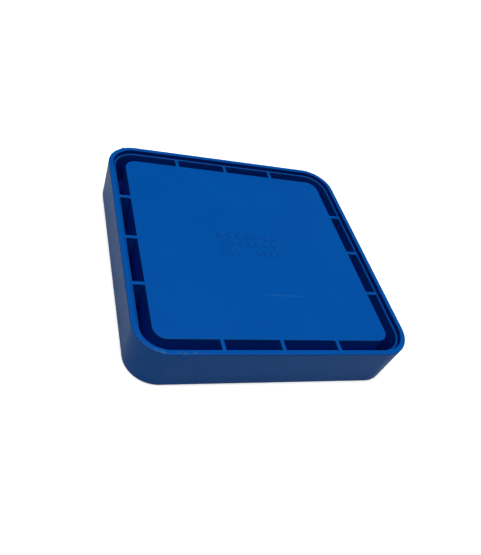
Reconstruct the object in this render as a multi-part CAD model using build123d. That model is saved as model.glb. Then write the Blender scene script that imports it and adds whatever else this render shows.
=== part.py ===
from build123d import *
import math
import os

# A low-profile cryogenic storage box: a lid that telescopes over a walled base, with a divider of
# interlocking strips inside. Millimetres, +Z up. The origin is the centre of the footprint, on the
# surface that the box stands on.

# Driving dimensions of the lid
lid_width = 133.0        # across the rim, the usual footprint of a freezer-rack box
lid_height = 23.2        # bottom edge of the skirt to the top of the rim
lid_corner = 15.0        # outer corner radius, seen from above
skirt_draft = 0.7        # how far each side leans in by its bottom edge
rim_width = 2.5          # flat top of the raised rim
rim_rise = 2.0           # height of the rim over the ledge, the ribs and the panel
rim_lean = 0.5           # how far the rim's inner wall leans in by the ledge
ledge_width = 0.8        # step inside the rim
moat_width = 5.4         # open channel between the ledge and the panel
panel_corner = 6.2       # corner radius of the middle panel
rib_width = 1.8
rib_pitch = 28.05        # spacing of the three ribs on each side
shell = 1.5              # thickness of the lid's inner walls and panels, and of the base walls
edge_round = 0.5         # softening of the rim's outer edge

# Driving dimensions of the base
skirt_gap = 0.3          # the skirt stops this far above the table, so that the lid rests on the base
floor_height = 2.2       # floor plate, whose edge is the flange that the lid rests on
fit_gap = 0.5            # base wall and flange to the lid's inner walls, each side
head_gap = 0.8           # top of the base walls to the underside of the lid's panel
foot_relief = 0.6        # depth of the hollows under the floor plate
foot_ring = 4.0          # width of the ring that the base stands on
brace_outer = 66.0       # square ring that braces the middle of the floor
brace_width = 2.0
brace_corner = 8.0
pad_width = 16.0         # centre pad, level with the foot ring
pad_corner = 4.0

# Driving dimensions of the divider
cells = 10               # cells along each side
strip_thickness = 0.8
strip_height = 11.0
strip_end_gap = 0.2      # end of a strip to the base wall
slot_width = 1.0
slot_clearance = 0.1     # height left between two crossed strips

# Levels and widths that follow from them
rim_z = skirt_gap + lid_height
panel_z = rim_z - rim_rise
moat_floor_z = floor_height + shell
moat_outer = lid_width - 2 * (rim_width + rim_lean + ledge_width)
panel_width = moat_outer - 2 * moat_width
hat_width = panel_width - 2 * shell
base_outer = hat_width - 2 * fit_gap
base_inner = base_outer - 2 * shell
floor_width = moat_outer - 2 * fit_gap
wall_top_z = panel_z - shell - head_gap
cell_pitch = base_inner / cells


def concentric(radius, inset):
    """Corner radius of an outline that runs a constant distance inside another."""
    return radius - inset


def block(width, radius, low, high):
    """Upright prism with a rounded square outline, between two heights."""
    return Pos(0, 0, low) * extrude(RectangleRounded(width, width, radius), high - low)


def drafted_block(width, radius, top, depth, lean):
    """Rounded square prism that hangs down from its full width and leans in by its bottom edge."""
    outline = Pos(0, 0, top) * RectangleRounded(width, width, radius)
    return extrude(outline, depth, dir=(0, 0, -1), taper=math.degrees(math.atan(lean / depth)))


def skirt_body():
    """Outer form of the lid, with the edge round the top of the rim softened."""
    body = drafted_block(lid_width, lid_corner, rim_z, lid_height, skirt_draft)
    return fillet(body.edges().group_by(Axis.Z)[-1], edge_round)


def moat_ribs():
    """Three ribs across the moat on each of the four sides, level with the panel."""
    mid = (moat_outer + panel_width) / 4
    rib = extrude(Rectangle(moat_width, rib_width), panel_z - moat_floor_z)
    return [
        Rot(0, 0, turn) * Pos(mid, step * rib_pitch, moat_floor_z) * rib
        for turn in (0, 90, 180, 270)
        for step in (-1, 0, 1)
    ]


def make_lid():
    """Rimmed lid: skirt, step, ribbed moat, and the hollow panel that goes over the base."""
    rim_corner = concentric(lid_corner, rim_width)
    moat_corner = concentric(rim_corner, rim_lean + ledge_width)
    hat_corner = concentric(panel_corner, shell)
    lid = skirt_body()
    lid -= drafted_block(lid_width - 2 * rim_width, rim_corner, rim_z, rim_rise, rim_lean)
    channel = block(moat_outer, moat_corner, moat_floor_z, panel_z)
    lid -= channel - block(panel_width, panel_corner, moat_floor_z, panel_z)
    lid -= block(moat_outer, moat_corner, skirt_gap, floor_height)
    lid -= block(hat_width, hat_corner, skirt_gap, panel_z - shell)
    return lid + moat_ribs()


def make_base():
    """Floor plate on a foot ring, a brace ring and a pad, and the wall that the lid goes over."""
    wall_corner = concentric(panel_corner, shell + fit_gap)
    floor_corner = concentric(lid_corner, (lid_width - floor_width) / 2)
    base = block(floor_width, floor_corner, 0, floor_height)
    base += block(base_outer, wall_corner, floor_height, wall_top_z)
    base -= block(base_inner, concentric(wall_corner, shell), floor_height, wall_top_z)
    hollow = block(floor_width - 2 * foot_ring, concentric(floor_corner, foot_ring), 0, foot_relief)
    brace = block(brace_outer, brace_corner, 0, foot_relief)
    brace -= block(brace_outer - 2 * brace_width, concentric(brace_corner, brace_width), 0, foot_relief)
    base -= hollow - brace - block(pad_width, pad_corner, 0, foot_relief)
    return base


def make_strip(slots_from_top):
    """One divider strip along X, centred on Y = 0, slotted to half its height at every crossing."""
    length = base_inner - 2 * strip_end_gap
    strip = Pos(0, 0, floor_height + strip_height / 2) * Box(length, strip_thickness, strip_height)
    depth = (strip_height + slot_clearance) / 2
    middle = strip_height - depth / 2 if slots_from_top else depth / 2
    slot = Box(slot_width, 2 * strip_thickness, depth)
    for i in range(1, cells):
        strip -= Pos((i - cells / 2) * cell_pitch, 0, floor_height + middle) * slot
    return strip


def make_divider():
    """Strips both ways, named by the direction they run in and their place in the row."""
    along_x, along_y = make_strip(True), Rot(0, 0, 90) * make_strip(False)
    strips = {}
    for i in range(1, cells):
        offset = (i - cells / 2) * cell_pitch
        strips[f"divider_strip_x{i}"] = Pos(0, offset, 0) * along_x
        strips[f"divider_strip_y{i}"] = Pos(offset, 0, 0) * along_y
    return strips


os.makedirs("parts", exist_ok=True)
pieces = {"lid": make_lid(), "base": make_base(), **make_divider()}
for name, piece in pieces.items():
    export_step(piece, f"parts/{name}.step")
    print(f"{name}: {piece.volume / 1000:.2f} cm3")
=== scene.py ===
import math

import bmesh
import bpy
import numpy as np
from mathutils import Euler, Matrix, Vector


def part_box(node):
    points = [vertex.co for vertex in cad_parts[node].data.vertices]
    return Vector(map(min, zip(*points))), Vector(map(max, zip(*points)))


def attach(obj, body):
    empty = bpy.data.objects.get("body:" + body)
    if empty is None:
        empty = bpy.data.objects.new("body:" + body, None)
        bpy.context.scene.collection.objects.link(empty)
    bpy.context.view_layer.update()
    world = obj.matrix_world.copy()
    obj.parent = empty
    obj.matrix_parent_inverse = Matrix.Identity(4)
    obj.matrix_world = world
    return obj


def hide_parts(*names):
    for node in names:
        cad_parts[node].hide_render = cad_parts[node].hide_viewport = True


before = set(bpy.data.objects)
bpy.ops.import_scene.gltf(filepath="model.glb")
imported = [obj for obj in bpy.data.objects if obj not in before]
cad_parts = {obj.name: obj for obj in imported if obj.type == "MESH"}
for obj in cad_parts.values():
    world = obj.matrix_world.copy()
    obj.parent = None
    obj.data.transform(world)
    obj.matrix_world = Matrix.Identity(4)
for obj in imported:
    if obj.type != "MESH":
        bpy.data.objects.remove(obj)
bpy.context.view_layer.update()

mm = 0.001                       # lengths below are in millimetres, meshes in metres
tiny = 1e-7                      # heights that differ by less than this are the same
weldDistance = 1e-4
quarterTurns = 4
roundPoints = 4                  # points along a small quarter round
white = (1, 1, 1, 1)


def show(stage):
    print("stage:", stage, flush=True)


def boxInMm(node):
    # lowest and highest corner of a CAD node
    low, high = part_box(node)
    return np.array(low) / mm, np.array(high) / mm


def tangentArc(before, corner, after, radius, stepDegrees=22.5):
    # arc that touches both runs at a corner. Its centre is on the bisector, at radius / sin(half angle)
    toBefore = (before - corner) / np.linalg.norm(before - corner)
    toAfter = (after - corner) / np.linalg.norm(after - corner)
    half = math.acos(np.clip(toBefore @ toAfter, -1, 1)) / 2
    bisector = (toBefore + toAfter) / np.linalg.norm(toBefore + toAfter)
    centre = corner + bisector * radius / math.sin(half)
    start = corner + toBefore * radius / math.tan(half) - centre
    end = corner + toAfter * radius / math.tan(half) - centre
    turn = math.pi - 2 * half
    steps = max(2, math.ceil(math.degrees(turn) / stepDegrees))
    share = np.linspace(0, 1, steps + 1)[:, None]
    # points turned evenly from start to end, by the sine rule for equal angles
    return centre + (np.sin((1 - share) * turn) * start + np.sin(share * turn) * end) / math.sin(turn)


def softProfile(corners, longestRun=9.0):
    # corners hold (half width, plan corner radius, height, rounding). Each rounded corner becomes a
    # tangent arc, and the plan radius grows with the half width along it. Long runs are then divided.
    corners = np.array(corners, float)
    flat = corners[:, [0, 2]]
    points = [corners[0, :3]]
    for i in range(1, len(corners) - 1):
        width, planRadius, height, rounding = corners[i]
        if rounding > 0:
            arc = tangentArc(flat[i - 1], flat[i], flat[i + 1], rounding)
            points += [np.array([w, planRadius + w - width, z]) for w, z in arc]
        else:
            points.append(corners[i, :3])
    points = np.array(points + [corners[-1, :3]])
    run = np.r_[0, np.cumsum(np.linalg.norm(np.diff(points[:, [0, 2]], axis=0), axis=1))]
    marks = [np.linspace(a, b, max(1, math.ceil((b - a) / longestRun)), endpoint=False)
             for a, b in zip(run[:-1], run[1:])]
    marks = np.r_[np.concatenate(marks), run[-1]]
    return np.stack([np.interp(marks, run, points[:, k]) for k in range(3)], axis=1)


def squareStations(straight, cornerSteps=18):
    # stations round a square, anticlockwise: place on the core square (-1 to 1) and outward direction.
    # straight holds the places along one side, and the corner's direction turns through 90 degrees.
    turn = np.linspace(0, math.pi / 2, cornerSteps + 1)[1:-1]
    core = np.r_[np.c_[np.ones_like(straight), straight], np.ones((len(turn), 2))]
    out = np.r_[np.tile([1.0, 0.0], (len(straight), 1)), np.c_[np.cos(turn), np.sin(turn)]]
    cores, outs = [], []
    for k in range(quarterTurns):
        c, s = round(math.cos(k * math.pi / 2)), round(math.sin(k * math.pi / 2))
        rotate = np.array([[c, s], [-s, c]])
        cores.append(core @ rotate)
        outs.append(out @ rotate)
    return np.concatenate(cores), np.concatenate(outs)


def sweptSurface(core, out, profile):
    # point = core * (half width - plan radius) + direction * plan radius, at the profile's height
    width, planRadius, height = profile[..., 0], profile[..., 1], profile[..., 2]
    inner, radius = (width - planRadius)[..., None], planRadius[..., None]
    plan = core[:, None, :] * inner + out[:, None, :] * radius
    return np.concatenate([plan, np.broadcast_to(height, plan.shape[:2])[..., None]], axis=2)


def closedFaces(stations, rings):
    # faces of one grid[station, ring] whose first and last ring are poles: quads between neighbours,
    # wrapped round the stations, and a fan at each pole
    rings -= 2
    here = np.arange(stations)[:, None] * rings
    there = (np.arange(stations)[:, None] + 1) % stations * rings
    ring = np.arange(rings - 1)[None, :]
    quads = np.stack([here + ring, here + ring + 1, there + ring + 1, there + ring], axis=-1)
    first, last = stations * rings, stations * rings + 1
    startFan = np.stack([np.full(stations, first), here[:, 0], there[:, 0]], axis=1)
    endFan = np.stack([np.full(stations, last), there[:, 0] + rings - 1, here[:, 0] + rings - 1], axis=1)
    return quads.reshape(-1, 4), np.r_[startFan, endFan]


def inMeshOrder(grids):
    # values[surface, station, ring] in the order of the mesh's points: all but the poles, then the poles
    surfaces = len(grids)
    poles = grids[:, 0][:, [0, -1]]
    return np.concatenate([grids[:, :, 1:-1].reshape(surfaces, -1, *grids.shape[3:]), poles], axis=1)


def closedMesh(name, grids, marks=None):
    # one mesh from grids[surface, station, ring], with a float attribute for each entry of marks
    points = inMeshOrder(grids)
    quads, fans = closedFaces(*grids.shape[1:3])
    shift = (np.arange(len(grids)) * points.shape[1])[:, None, None]
    faces = (shift + quads).reshape(-1, 4).tolist() + (shift + fans).reshape(-1, 3).tolist()
    mesh = bpy.data.meshes.new(name)
    mesh.from_pydata(points.reshape(-1, 3) * mm, [], faces)
    for mark, values in (marks or {}).items():
        attribute = mesh.attributes.new(mark, "FLOAT", "POINT")
        attribute.data.foreach_set("value", inMeshOrder(values).astype(np.float32).ravel())
    return mesh


def finishPiece(name, mesh, material, sharpDegrees=40):
    # welds points that coincide, smooths the rounded edges and keeps flats flat
    work = bmesh.new()
    work.from_mesh(mesh)
    bmesh.ops.remove_doubles(work, verts=work.verts, dist=weldDistance * mm)
    work.to_mesh(mesh)
    work.free()
    mesh.shade_smooth()
    mesh.set_sharp_from_angle(angle=math.radians(sharpDegrees))
    piece = bpy.data.objects.new(name, mesh)
    bpy.context.scene.collection.objects.link(piece)
    weighted = piece.modifiers.new("flatFaces", "WEIGHTED_NORMAL")
    weighted.keep_sharp = True
    mesh.materials.append(material)
    return piece


def addNode(tree, kind, inputs=None, **settings):
    node = tree.nodes.new(kind)
    for key, value in settings.items():
        setattr(node, key, value)
    for key, value in (inputs or {}).items():
        if isinstance(value, bpy.types.NodeSocket):
            tree.links.new(value, node.inputs[key])
        else:
            node.inputs[key].default_value = value
    return node


def maths(tree, operation, a, b=0.0):
    return addNode(tree, "ShaderNodeMath", {0: a, 1: b}, operation=operation).outputs[0]


def remap(tree, value, low, high, newLow=0.0, newHigh=1.0):
    inputs = {"Value": value, "From Min": low, "From Max": high, "To Min": newLow, "To Max": newHigh}
    return addNode(tree, "ShaderNodeMapRange", inputs, clamp=True).outputs[0]


def blendColour(tree, share, a, b):
    node = addNode(tree, "ShaderNodeMix", {0: share}, data_type="RGBA")
    for slot, colour in ((6, a), (7, b)):
        if isinstance(colour, bpy.types.NodeSocket):
            tree.links.new(colour, node.inputs[slot])
        else:
            node.inputs[slot].default_value = (*colour, 1.0)
    return node.outputs[2]


def noise(tree, place, scale, detail=2.0, roughness=0.5):
    inputs = {"Vector": place, "Scale": scale, "Detail": detail, "Roughness": roughness}
    return addNode(tree, "ShaderNodeTexNoise", inputs).outputs[0]


def meshMark(tree, name):
    return addNode(tree, "ShaderNodeAttribute", attribute_name=name).outputs["Fac"]


def scratchMask(tree, place, scratch):
    # the place is moved and turned onto the scratch: along it is X, across it Y. The mask is 1 on a
    # thin wandering line and fades at both ends and where the noise breaks it.
    start, end = np.array(scratch["from"]), np.array(scratch["to"])
    length = np.linalg.norm(end - start) * mm
    angle = math.atan2(*(end - start)[::-1])
    turned = addNode(tree, "ShaderNodeMapping", {"Vector": place, "Location": (*(start * mm), 0),
                     "Rotation": (0, 0, angle)}, vector_type="TEXTURE").outputs[0]
    parts = addNode(tree, "ShaderNodeSeparateXYZ", {0: turned})
    along, across = parts.outputs[0], parts.outputs[1]
    waves = noise(tree, along, scratch["waveScale"], 1.0)
    wander = maths(tree, "MULTIPLY", maths(tree, "SUBTRACT", waves, 0.5), scratch["wander"] * mm)
    distance = maths(tree, "ABSOLUTE", maths(tree, "ADD", across, wander))
    line = remap(tree, distance, scratch["width"] * mm / 2, 0.0)
    rises, falls = (length * share for share in scratch["fades"])
    ends = maths(tree, "MULTIPLY", remap(tree, along, 0.0, rises), remap(tree, along, length, falls))
    breaks = noise(tree, along, scratch["breakScale"])
    gaps = remap(tree, breaks, *scratch["breakSpan"], scratch["breakLeast"])
    return maths(tree, "MULTIPLY", maths(tree, "MULTIPLY", line, ends), gaps)


# noise behind the plastics' finish. A span is the part of a noise's values that becomes 0 to 1.
plasticNoise = {
    "cloudSpan": (0.3, 0.7),
    "speckSpan": (0.42, 0.72),
    "patchScale": 900.0,         # patches in the pale edges, part rubbed wear and part painted highlight
    "patchSpan": (0.3, 0.65),
    "patchLeast": 0.35,          # what is left of the pale edge between its patches
    "smudgeScale": 180.0,        # smudges in the roughness
    "smudgeSpan": (0.3, 0.7),
    "grainDepth": 0.02,
}


def mouldedPlastic(name, look):
    # satin moulded plastic: cloudy tone and fine grain. Optional: painted shade down the moat and beside
    # it, a speckled skirt, pale edges of rubbed wear and painted highlight where the mesh's marks say
    # so, and a scratch.
    material = bpy.data.materials.new(name)
    material.use_nodes = True
    tree = material.node_tree
    shader = tree.nodes["Principled BSDF"]
    shader.inputs["IOR"].default_value = look["ior"]
    shader.inputs["Specular IOR Level"].default_value = look["specular"]
    place = addNode(tree, "ShaderNodeTexCoord").outputs["Object"]
    clouds = noise(tree, place, look["cloudScale"], 3.0)
    cloudy = remap(tree, clouds, *plasticNoise["cloudSpan"])
    colour = blendColour(tree, cloudy, look["dark"], look["light"])
    grainHeight = noise(tree, place, look["grainScale"])
    # painted shade: a darker colour down the moat, and another on the step inside the rim, the moat's
    # outer wall and floor, and the pads' sides
    if "moatShadeColour" in look:
        colour = blendColour(tree, meshMark(tree, "moatPaintedShade"), colour, look["moatShadeColour"])
        colour = blendColour(tree, meshMark(tree, "stepShade"), colour, look["step"])
    if "speck" in look:
        specks = noise(tree, place, look["speckScale"], 3.0, 0.7)
        specks = remap(tree, specks, *plasticNoise["speckSpan"])
        onSkirt = maths(tree, "MULTIPLY", meshMark(tree, "skirt"), specks)
        colour = blendColour(tree, onSkirt, colour, look["speck"])
        coarse = maths(tree, "MULTIPLY", onSkirt, look["skirtRelief"])
        grainHeight = maths(tree, "ADD", grainHeight, coarse)
    # pale edges: rubbed wear round the nicks, and painted highlights along the rim's, panel's and
    # ledge's edges
    if "edge" in look:
        patches = noise(tree, place, plasticNoise["patchScale"], 4.0, 0.7)
        patches = remap(tree, patches, *plasticNoise["patchSpan"], plasticNoise["patchLeast"])
        rubbedAndHighlit = maths(tree, "MULTIPLY", meshMark(tree, "edgeWearAndHighlight"), patches)
        colour = blendColour(tree, rubbedAndHighlit, colour, look["edge"])
    if "scratch" in look:
        scratch = look["scratch"]
        scuffed = maths(tree, "MULTIPLY", scratchMask(tree, place, scratch), scratch["strength"])
        colour = blendColour(tree, scuffed, colour, scratch["colour"])
    tree.links.new(colour, shader.inputs["Base Color"])
    smudges = noise(tree, place, plasticNoise["smudgeScale"], 4.0, 0.6)
    smooth, rough = (look["roughness"] + side * look["roughnessSpread"] for side in (-1, 1))
    roughness = remap(tree, smudges, *plasticNoise["smudgeSpan"], smooth, rough)
    tree.links.new(roughness, shader.inputs["Roughness"])
    bump = addNode(tree, "ShaderNodeBump", {"Height": grainHeight, "Strength": look["grain"],
                   "Distance": plasticNoise["grainDepth"] * mm})
    tree.links.new(bump.outputs[0], shader.inputs["Normal"])
    return material


blueLook = {
    "dark": (0.0003, 0.068, 0.318),
    "light": (0.0004, 0.074, 0.336),
    "ior": 1.49,
    "specular": 0.07,
    "roughness": 0.36,
    "roughnessSpread": 0.03,
    "cloudScale": 40.0,
    "grainScale": 4200.0,
    "grain": 0.25,
}

# what only the lid's blue plastic has
lidLook = {
    # painted shade colour down the moat
    "moatShadeColour": (0.0003, 0.032, 0.500),
    "speck": (0.012, 0.105, 0.310),
    "speckScale": 1600.0,
    "skirtRelief": 1.5,
    # pale edge colour: rubbed wear and painted highlight
    "edge": (0.040, 0.155, 0.300),
    # painted shade colour on the step inside the rim, the moat's outer wall and floor, and the pads'
    # sides
    "step": (0.0003, 0.014, 0.130),
}

whiteLook = {
    "dark": (0.60, 0.61, 0.59),
    "light": (0.68, 0.69, 0.67),
    "ior": 1.49,
    "specular": 0.4,
    "roughness": 0.5,
    "roughnessSpread": 0.04,
    "cloudScale": 60.0,
    "grainScale": 2600.0,
    "grain": 0.3,
}

# a light scuff on the panel, in millimetres from the middle
panelScratch = {
    "from": (-2.5, -31.9),
    "to": (21.0, -32.1),
    "width": 0.45,
    "wander": 0.6,
    "waveScale": 60.0,
    "fades": (0.12, 0.7),        # shares of the length at which it is full and starts to fade
    "breakScale": 150.0,
    "breakSpan": (0.3, 0.45),
    "breakLeast": 0.25,          # what is left of it in the breaks
    "strength": 0.5,
    "colour": (0.06, 0.20, 0.30),
}

lidPlastic = mouldedPlastic("lidBluePlastic", {**blueLook, **lidLook, "scratch": panelScratch})
basePlastic = mouldedPlastic("baseBluePlastic", blueLook)
dividerPlastic = mouldedPlastic("dividerWhitePlastic", whiteLook)
show("materials")

lidSizes = {
    "rimWidth": 2.5,
    "rimRise": 2.0,
    "rimLean": 0.5,          # the rim's inner wall leans in by this
    "ledgeWidth": 0.8,
    "moatWidth": 5.4,
    "panelCorner": 6.2,      # plan radius of the middle panel's corners
    "wall": 1.5,
    "flangeTop": 2.2,        # height at which the lid rests on the base
    "skirtLean": 0.7,
    "ribWidth": 1.8,
    "ribPitch": 28.05,
    "ribRounding": 0.25,
    "outerRounding": 0.45,
    "edgeRounding": 0.25,
    "moatRounding": 0.6,
    "rimFootRounding": 0.2,
    "skirtFootRounding": 0.35,
    "undersideRounding": 0.3,
    "hatRounding": 0.6,
    "stationGap": 0.6,
    "cornerSteps": 32,
}

# wear and painted highlights on the lid: nicks in the near edge of the rim as (place along X, width,
# depth), a moulding burr that sticks out of the far left corner, and how pale each edge is: rubbed wear
# round the nicks and on the rim's edge, and a painted highlight along the rim's, panel's and ledge's
# edges
lidWearAndHighlights = {
    "nicks": [(-60.2, 1.3, 0.15), (-57.8, 0.9, 0.55), (-55.5, 2.2, 0.40), (-54.7, 0.9, 0.20),
              (-49.2, 2.2, 0.14), (-46.8, 1.4, 1.00), (-42.2, 1.1, 0.85), (-38.5, 1.2, 0.10)],
    "reach": 1.3,            # how far a nick reaches down and in
    "nickFade": 0.5,         # power at which a nick fades over its reach
    "nickDrop": 0.7,         # how far it sinks for each millimetre that it goes in
    "burrTurn": 25.7,        # degrees round the corner from the far side
    "burrWidth": 0.5,
    "burrLength": 1.45,
    "burrDrop": 0.35,
    "burrRoot": 0.6,         # the burr grows where the closeness to the rim's edge is over this
    "nickEdge": 1.5,
    "nickRub": 1.6,          # reach of the rub round the nicks, in nick reaches
    "rimEdge": 0.55,
    "panelEdge": 0.35,
    "ledgeEdge": 0.35,
}

# painted shade in the colour of the moat and of the step inside the rim: millimetres, and shares of full
# shade
lidShade = {
    "moatFade": 1.2,         # the moat's painted shade is full this far under the panel
    "nearWall": 0.5,         # what is this close to a wall's place counts as part of it
    "nearFoot": 0.25,        # the same for the foot of the rim
    "rimFade": 0.15,         # the step has its full shade this far under the rim's top
    "ledgeShare": 0.4,
    "wallShare": 0.6,        # outer wall of the moat
    "lowStart": 5.0,         # painted shade darkens the moat again below this height over its floor
    "lowFade": 4.0,
}

lidLow, lidHigh = boxInMm("lid")
lean = lidSizes["skirtLean"] / (lidHigh[2] - lidLow[2])
lidHalf = lidHigh[0] + lean * lidSizes["outerRounding"]
rimInner = lidHalf - lidSizes["rimWidth"]
rimFoot = rimInner - lidSizes["rimLean"]
ledgeInner = rimFoot - lidSizes["ledgeWidth"]
panelHalf = ledgeInner - lidSizes["moatWidth"]
hatHalf = panelHalf - lidSizes["wall"]
coreHalf = panelHalf - lidSizes["panelCorner"]     # every outline of the lid turns about these corners
rimTop, skirtLow = lidHigh[2], lidLow[2]
panelTop = rimTop - lidSizes["rimRise"]
moatLow = lidSizes["flangeTop"] + lidSizes["wall"]


def concentric(half, height, rounding=0.0):
    # profile corner on an outline that shares the lid's corner centres
    return half, half - coreHalf, height, rounding


def lidProfile():
    # from the middle of the panel out over the moat and the rim, down the skirt, and back underneath
    soft, under = lidSizes["edgeRounding"], lidSizes["undersideRounding"]
    moatRound, hatTop, damage = lidSizes["moatRounding"], panelTop - lidSizes["wall"], lidWearAndHighlights["reach"]
    return softProfile([
        (0, 0, panelTop, 0),
        concentric(panelHalf, panelTop, soft),
        concentric(panelHalf, moatLow, moatRound),
        concentric(ledgeInner, moatLow, moatRound),
        concentric(ledgeInner, panelTop, soft),
        concentric(rimFoot, panelTop, lidSizes["rimFootRounding"]),
        concentric(rimInner, rimTop, soft),
        concentric(lidHalf - damage, rimTop),
        concentric(lidHalf, rimTop, lidSizes["outerRounding"]),
        concentric(lidHalf - lean * damage, rimTop - damage),
        concentric(lidHalf - lidSizes["skirtLean"], skirtLow, lidSizes["skirtFootRounding"]),
        concentric(ledgeInner, skirtLow, soft),
        concentric(ledgeInner, lidSizes["flangeTop"], under),
        concentric(hatHalf, lidSizes["flangeTop"], under),
        concentric(hatHalf, hatTop, lidSizes["hatRounding"]),
        (0, 0, hatTop, 0),
    ])


def ribStations():
    # places along one side, and the height that a rib fills the moat to there (none is minus infinity).
    # Across a rib's rounded edge the height falls as 1 - cos while the place moves as sin.
    half, rounding = lidSizes["ribWidth"] / 2, lidSizes["ribRounding"]
    turn = np.linspace(0, math.pi / 2, roundPoints)
    edge = half - rounding + rounding * np.sin(turn)
    fall = rounding * (1 - np.cos(turn))
    across = np.r_[-half, -edge[::-1], edge, half]
    level = np.r_[-np.inf, panelTop - fall[::-1], panelTop - fall, -np.inf]
    places, levels = [], []
    ribs = [step * lidSizes["ribPitch"] for step in (-1, 0, 1)]
    bounds = [-coreHalf] + [r + side * half for r in ribs for side in (-1, 1)] + [coreHalf]
    for i in range(0, len(bounds), 2):
        steps = math.ceil((bounds[i + 1] - bounds[i]) / lidSizes["stationGap"])
        plain = np.linspace(bounds[i], bounds[i + 1], steps + 1)
        plain = plain if i == 0 else plain[1:]
        plain = plain if i == len(bounds) - 2 else plain[:-1]
        places.append(plain)
        levels.append(np.full(len(plain), -np.inf))
        if i < len(bounds) - 2:
            places.append(ribs[i // 2] + across)
            levels.append(level)
    return np.concatenate(places) / coreHalf, np.concatenate(levels)


def bell(distance, width):
    return np.exp(-(distance / width) ** 2)


def outlineHalf(points):
    # half width of the outline that a point lies on: distance from the core square, plus the core
    outside = np.maximum(np.abs(points[..., :2]) - coreHalf, 0)
    return coreHalf + np.hypot(outside[..., 0], outside[..., 1])


def edgeCloseness(points, half, height, reach):
    # 1 on the edge at this half width and height, falling evenly to 0 over the reach
    return np.clip(1 - np.hypot(outlineHalf(points) - half, points[..., 2] - height) / reach, 0, 1)


def nickDepth(points):
    # bell-shaped nicks along the near side of the rim
    near = points[..., 1] < -coreHalf
    along = points[..., 0]
    nicks = lidWearAndHighlights["nicks"]
    return near * sum(depth * bell(along - place, width / 2) for place, width, depth in nicks)


def damageRim(surface, out):
    # nicks push the rim's edge in and down, and the burr pulls it straight out at one station
    close = edgeCloseness(surface, lidHalf, rimTop, lidWearAndHighlights["reach"])
    push = nickDepth(surface) * close ** lidWearAndHighlights["nickFade"]
    turn = math.radians(90 + lidWearAndHighlights["burrTurn"])
    burrOut = np.array([math.cos(turn), math.sin(turn)])
    away = np.linalg.norm(out - burrOut, axis=1) * (lidHalf - coreHalf)
    corner = (surface[..., 0] < -coreHalf) & (surface[..., 1] > coreHalf)
    burr = bell(away, lidWearAndHighlights["burrWidth"])[:, None] * lidWearAndHighlights["burrLength"]
    pull = corner * burr * (close > lidWearAndHighlights["burrRoot"]) * close
    moved = surface.copy()
    moved[..., :2] += out[:, None, :] * (pull - push)[..., None]
    moved[..., 2] -= lidWearAndHighlights["nickDrop"] * push + lidWearAndHighlights["burrDrop"] * pull
    return moved


def wearAndHighlightEdges(surface, plainMoat):
    # pale edges: a painted highlight on the rounded edges of panel, ledge and rim, with rubbed wear on
    # the rim's edge, strongest round the nicks
    arc, outerArc = lidSizes["edgeRounding"], lidSizes["outerRounding"]
    panelEdge = edgeCloseness(surface, panelHalf, panelTop, arc) * lidWearAndHighlights["panelEdge"]
    panelEdge *= plainMoat[:, None]
    ledgeEdge = edgeCloseness(surface, ledgeInner, panelTop, arc) * lidWearAndHighlights["ledgeEdge"]
    rimEdge = edgeCloseness(surface, lidHalf, rimTop, outerArc) * lidWearAndHighlights["rimEdge"]
    nickEdge = np.clip(nickDepth(surface) * lidWearAndHighlights["nickEdge"], 0, 1)
    onRim = surface[..., 2] > rimTop - outerArc
    rubReach = lidWearAndHighlights["nickRub"] * lidWearAndHighlights["reach"]
    nicked = onRim * edgeCloseness(surface, lidHalf, rimTop, rubReach) * nickEdge
    return np.maximum.reduce([panelEdge, ledgeEdge, rimEdge, nicked])


def fillRibs(grid, levels, moat):
    # inside a rib, moat points lower than the rib's top spread evenly over it, from wall to wall
    width, height = grid[0, moat, 0], grid[0, moat, 2]
    share = np.linspace(0, 1, len(moat))
    middle = len(moat) // 2
    for level in np.unique(levels[np.isfinite(levels)]):
        below = height < level - tiny
        low = np.interp(level, height[:middle][::-1], width[:middle][::-1])
        high = np.interp(level, height[middle:], width[middle:])
        first, last = share[below][0], share[below][-1]
        spread = low + (high - low) * (share - first) / (last - first)
        filledWidth = np.where(below, spread, width)
        filledHeight = np.where(below, level, height)
        filled = np.stack([filledWidth, filledWidth - coreHalf, filledHeight], axis=1)
        for station in np.where(levels == level)[0]:
            grid[station, moat] = filled


def moatShade(surface, profile, ring, widest, inMoat):
    # painted shade: the moat's deepens under the panel, and a second one grows down the step inside the
    # rim, over the outer wall of the moat and near its floor
    width, height = profile[:, 0], profile[:, 2]
    depth = np.clip((panelTop - surface[..., 2]) / lidShade["moatFade"], 0, 1)
    overLedge = height > panelTop + tiny
    onStep = (ring < widest) & (width > rimFoot - lidShade["nearFoot"]) & ~inMoat
    stepShare = onStep * np.where(overLedge, 1.0, lidShade["ledgeShare"])
    step = stepShare * np.clip((rimTop - surface[..., 2]) / lidShade["rimFade"], 0, 1)
    outerWall = inMoat & (width > ledgeInner - lidShade["nearWall"])
    wall = lidShade["wallShare"] * outerWall * depth
    start = moatLow + lidShade["lowStart"]
    low = inMoat * np.clip((start - surface[..., 2]) / lidShade["lowFade"], 0, 1)
    return inMoat * depth, np.maximum.reduce([step, wall, low])


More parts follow.
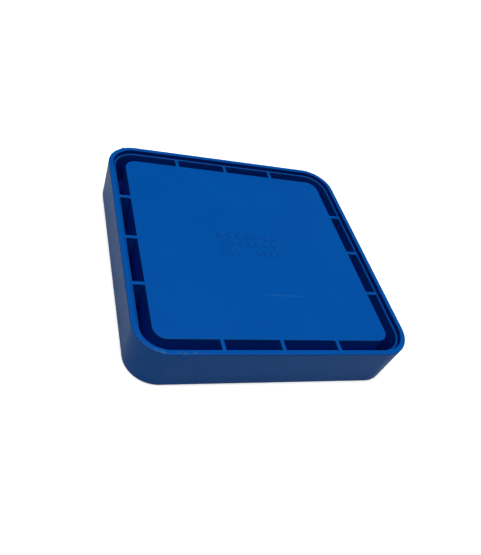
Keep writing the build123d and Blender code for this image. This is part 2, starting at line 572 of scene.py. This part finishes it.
def makeLid():
    straight, sideLevels = ribStations()
    core, out = squareStations(straight, lidSizes["cornerSteps"])
    levels = np.full(len(core) // quarterTurns, -np.inf)
    levels[:len(sideLevels)] = sideLevels
    levels = np.tile(levels, quarterTurns)
    profile = lidProfile()
    width, height = profile[:, 0], profile[:, 2]
    ring = np.arange(len(profile))
    widest = np.argmax(width)
    slack = lidShade["nearWall"]
    overMoat = (width > panelHalf - slack) & (width < ledgeInner + slack)
    inMoat = (ring < widest) & overMoat & (height <= panelTop + tiny)
    grid = np.broadcast_to(profile, (len(core), *profile.shape)).copy()
    fillRibs(grid, levels, np.where(inMoat)[0])
    surface = sweptSurface(core, out, grid)
    onSkirt = (ring >= widest) & (width > ledgeInner + slack)
    moatPaintedShade, stepShade = moatShade(surface, profile, ring, widest, inMoat)
    marks = {
        "edgeWearAndHighlight": wearAndHighlightEdges(surface, np.isinf(levels)),
        "skirt": np.broadcast_to(onSkirt, surface.shape[:2]),
        "moatPaintedShade": moatPaintedShade,
        "stepShade": stepShade,
    }
    marks = {name: values[None] for name, values in marks.items()}
    return closedMesh("lidShell", damageRim(surface, out)[None], marks)


lid = finishPiece("lidShell", makeLid(), lidPlastic)
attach(lid, "lid")
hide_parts("lid")

# three rows of plain raised pads in the middle of the panel
panelPads = {
    "rows": [(6.0, (-15, -10, -5, 0, 5, 10, 15)), (0.7, (-13.5, -9, -4.5, 0, 4.5, 9, 13.5)),
             (-5.3, (-15, -11.2, -7.4, 3.6, 7.4, 11.2, 15))],     # height up the panel, places along it
    "width": 2.4,
    "length": 3.3,
    "rise": 0.22,
    "sunk": 0.3,             # the pads reach this far into the panel
    "squareness": 5.0,       # exponent of the superellipse outline
    "topRounding": 0.12,     # share of the half width
    "footMargin": 0.10,      # share of the half width that the foot's outer rings take
    "outlinePoints": 32,
    "sideShade": 0.35,
    "shadeReach": 0.6,       # share of the rise, up and down from its middle
}


def signedPower(values, power):
    return np.sign(values) * np.abs(values) ** power


def makePads():
    # outline |x / a| ^ n + |y / b| ^ n = 1. A quarter ellipse rounds the side over to the flat top. The
    # foot is flat too, and lies inside the panel.
    angle = np.linspace(0, 2 * math.pi, panelPads["outlinePoints"], endpoint=False)
    power = 2 / panelPads["squareness"]
    outline = np.stack([signedPower(np.cos(angle), power) * panelPads["width"] / 2,
                        signedPower(np.sin(angle), power) * panelPads["length"] / 2], axis=1)
    turn = np.linspace(0, math.pi / 2, roundPoints)
    rise, sunk = panelPads["rise"], panelPads["sunk"]
    foot, top = panelPads["footMargin"], panelPads["topRounding"]
    # written from the middle of the foot up, and reversed to run down from the middle of the top
    size = np.r_[0, 1 - foot + foot * np.sin(turn), 1, 1 - top + top * np.cos(turn)[1:], 0][::-1]
    height = np.r_[-sunk, np.full(len(turn), -sunk), 0, rise * np.sin(turn)[1:], rise][::-1]
    level = np.broadcast_to(height, (len(angle), len(height)))
    pad = np.concatenate([outline[:, None, :] * size[:, None], level[..., None]], axis=2)
    places = np.array([(x, y, panelTop) for y, row in panelPads["rows"] for x in row])
    # painted shade on the pads' sides, strongest halfway up
    shade = 1 - np.abs(height - rise / 2) / (panelPads["shadeReach"] * rise)
    shade = panelPads["sideShade"] * np.clip(shade, 0, 1)
    marks = {"stepShade": np.broadcast_to(shade, (len(places), *level.shape))}
    return closedMesh("panelPads", pad[None] + places[:, None, None, :], marks)


pads = finishPiece("panelPads", makePads(), lidPlastic, sharpDegrees=50)
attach(pads, "lid")
show("lid")

baseSizes = {
    "floorTop": 2.2,             # height of the floor plate's upper face
    "footRing": 4.0,
    "relief": 0.6,               # depth of the hollows under the floor plate
    "wall": 1.5,
    "fitGap": 0.5,
    "rounding": 0.3,
    "cornerInside": 0.6,         # between the floor and the wall
    "cornerOutside": 0.4,        # between the flange and the wall
    "ringRounding": 0.2,
    "braceRounding": 0.15,
    "brace": (33.0, 8.0, 2.0),   # half width, plan radius, width
    "pad": (8.0, 4.0),           # half width, plan radius
    "sideStations": 21,
}

baseHigh = boxInMm("base")[1]


def baseProfile():
    # from the middle of the floor out to the wall, over it, across the flange and back under the floor
    soft, wall = baseSizes["rounding"], baseSizes["wall"]
    floorTop, relief = baseSizes["floorTop"], baseSizes["relief"]
    wallOuter = hatHalf - baseSizes["fitGap"]
    ringInner = baseHigh[0] - baseSizes["footRing"]
    ringRound, braceRound = baseSizes["ringRounding"], baseSizes["braceRounding"]
    braceHalf, braceRadius, braceWidth = baseSizes["brace"]
    padHalf, padRadius = baseSizes["pad"]
    return softProfile([
        (0, 0, floorTop, 0),
        concentric(wallOuter - wall, floorTop, baseSizes["cornerInside"]),
        concentric(wallOuter - wall, baseHigh[2], soft),
        concentric(wallOuter, baseHigh[2], soft),
        concentric(wallOuter, floorTop, baseSizes["cornerOutside"]),
        concentric(baseHigh[0], floorTop, soft),
        concentric(baseHigh[0], 0, soft),
        concentric(ringInner, 0, ringRound),
        concentric(ringInner, relief, ringRound),
        (braceHalf, braceRadius, relief, braceRound),
        (braceHalf, braceRadius, 0, braceRound),
        (braceHalf - braceWidth, braceRadius - braceWidth, 0, braceRound),
        (braceHalf - braceWidth, braceRadius - braceWidth, relief, braceRound),
        (padHalf, padRadius, relief, braceRound),
        (padHalf, padRadius, 0, braceRound),
        (0, 0, 0, 0),
    ])


def makeBase():
    core, out = squareStations(np.linspace(-1, 1, baseSizes["sideStations"]))
    profile = baseProfile()
    grid = np.broadcast_to(profile, (len(core), *profile.shape))
    return closedMesh("baseTray", sweptSurface(core, out, grid)[None])


base = finishPiece("baseTray", makeBase(), basePlastic)
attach(base, "base")
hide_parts("base")
show("base")

for name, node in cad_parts.items():
    if name.startswith("divider_strip"):
        node.data.materials.clear()
        node.data.materials.append(dividerPlastic)
show("divider")

studio = {
    "floorHalf": 1.4,            # metres
    "floorColour": (0.97, 0.97, 0.97),
    "floorBounce": (0.54, 0.59, 0.59),      # what the floor sends back to the box
    "floorGlow": 0.35,           # lifts the floor's shadows, for the camera alone
    "floorRoughness": 0.9,
    "skyForCamera": 1.0,
    "skyLight": 0.01,
    "overhead": {"place": (-0.2, -0.2, 2.6), "size": 1.8, "power": 79.0},
    # a low light from behind on the right, which shows the inside of the base and leaves no glare
    "fill": {"place": (1.0, 0.9, 0.55), "size": 0.8, "power": 5.0, "glossy": False},
}


def addFloor():
    half = studio["floorHalf"]
    corners = half * np.array([(-1, -1, 0), (1, -1, 0), (1, 1, 0), (-1, 1, 0)])
    mesh = bpy.data.meshes.new("floor")
    mesh.from_pydata(corners, [], [(0, 1, 2, 3)])
    floor = bpy.data.objects.new("floor", mesh)
    bpy.context.scene.collection.objects.link(floor)
    material = bpy.data.materials.new("paleFloor")
    material.use_nodes = True
    tree = material.node_tree
    shader = tree.nodes["Principled BSDF"]
    seen = addNode(tree, "ShaderNodeLightPath").outputs["Is Camera Ray"]
    colour = blendColour(tree, seen, studio["floorBounce"], studio["floorColour"])
    glow = maths(tree, "MULTIPLY", seen, studio["floorGlow"])
    tree.links.new(colour, shader.inputs["Base Color"])
    tree.links.new(glow, shader.inputs["Emission Strength"])
    shader.inputs["Roughness"].default_value = studio["floorRoughness"]
    shader.inputs["Specular IOR Level"].default_value = 0.0
    shader.inputs["Emission Color"].default_value = white
    mesh.materials.append(material)


def addAreaLight(name, place, size, power, glossy=True):
    # a square soft light that looks at the box
    light = bpy.data.lights.new(name, "AREA")
    light.size, light.energy = size, power
    lamp = bpy.data.objects.new(name, light)
    lamp.location = place
    toBox = -lamp.location
    lamp.rotation_euler = toBox.to_track_quat("-Z", "Y").to_euler()
    lamp.visible_glossy = glossy
    bpy.context.scene.collection.objects.link(lamp)


def addSky():
    # the camera sees a white room, while the box is lit by a much dimmer one
    world = bpy.data.worlds.new("studioSky")
    world.use_nodes = True
    tree = world.node_tree
    tree.nodes.clear()
    seen = addNode(tree, "ShaderNodeLightPath").outputs["Is Camera Ray"]
    strength = remap(tree, seen, 0.0, 1.0, studio["skyLight"], studio["skyForCamera"])
    sky = addNode(tree, "ShaderNodeBackground", {"Color": white, "Strength": strength})
    addNode(tree, "ShaderNodeOutputWorld", {"Surface": sky.outputs[0]})
    bpy.context.scene.world = world


cameraView = {
    "lens": 37.05,                          # millimetres, on a 36 mm sensor along the long side
    "place": (-117.62, -186.82, 179.33),    # from the middle of the rim's top
    "turn": (44.418, -17.852, -12.631),     # degrees
    "shift": (0.0362, -0.0148),             # share of the long side
}


def addCamera():
    data = bpy.data.cameras.new("camera")
    data.sensor_fit = "AUTO"
    data.sensor_width = 36.0
    data.lens = cameraView["lens"]
    data.shift_x, data.shift_y = cameraView["shift"]
    data.clip_start = 0.01
    camera = bpy.data.objects.new("camera", data)
    camera.location = (np.array(cameraView["place"]) + [0, 0, rimTop]) * mm
    camera.rotation_euler = Euler([math.radians(a) for a in cameraView["turn"]], "XYZ")
    bpy.context.scene.collection.objects.link(camera)
    bpy.context.scene.camera = camera


addFloor()
addAreaLight("overheadSoftbox", **studio["overhead"])
addAreaLight("fillSoftbox", **studio["fill"])
addSky()
addCamera()
bpy.context.scene.view_settings.view_transform = "Standard"
show("studio")
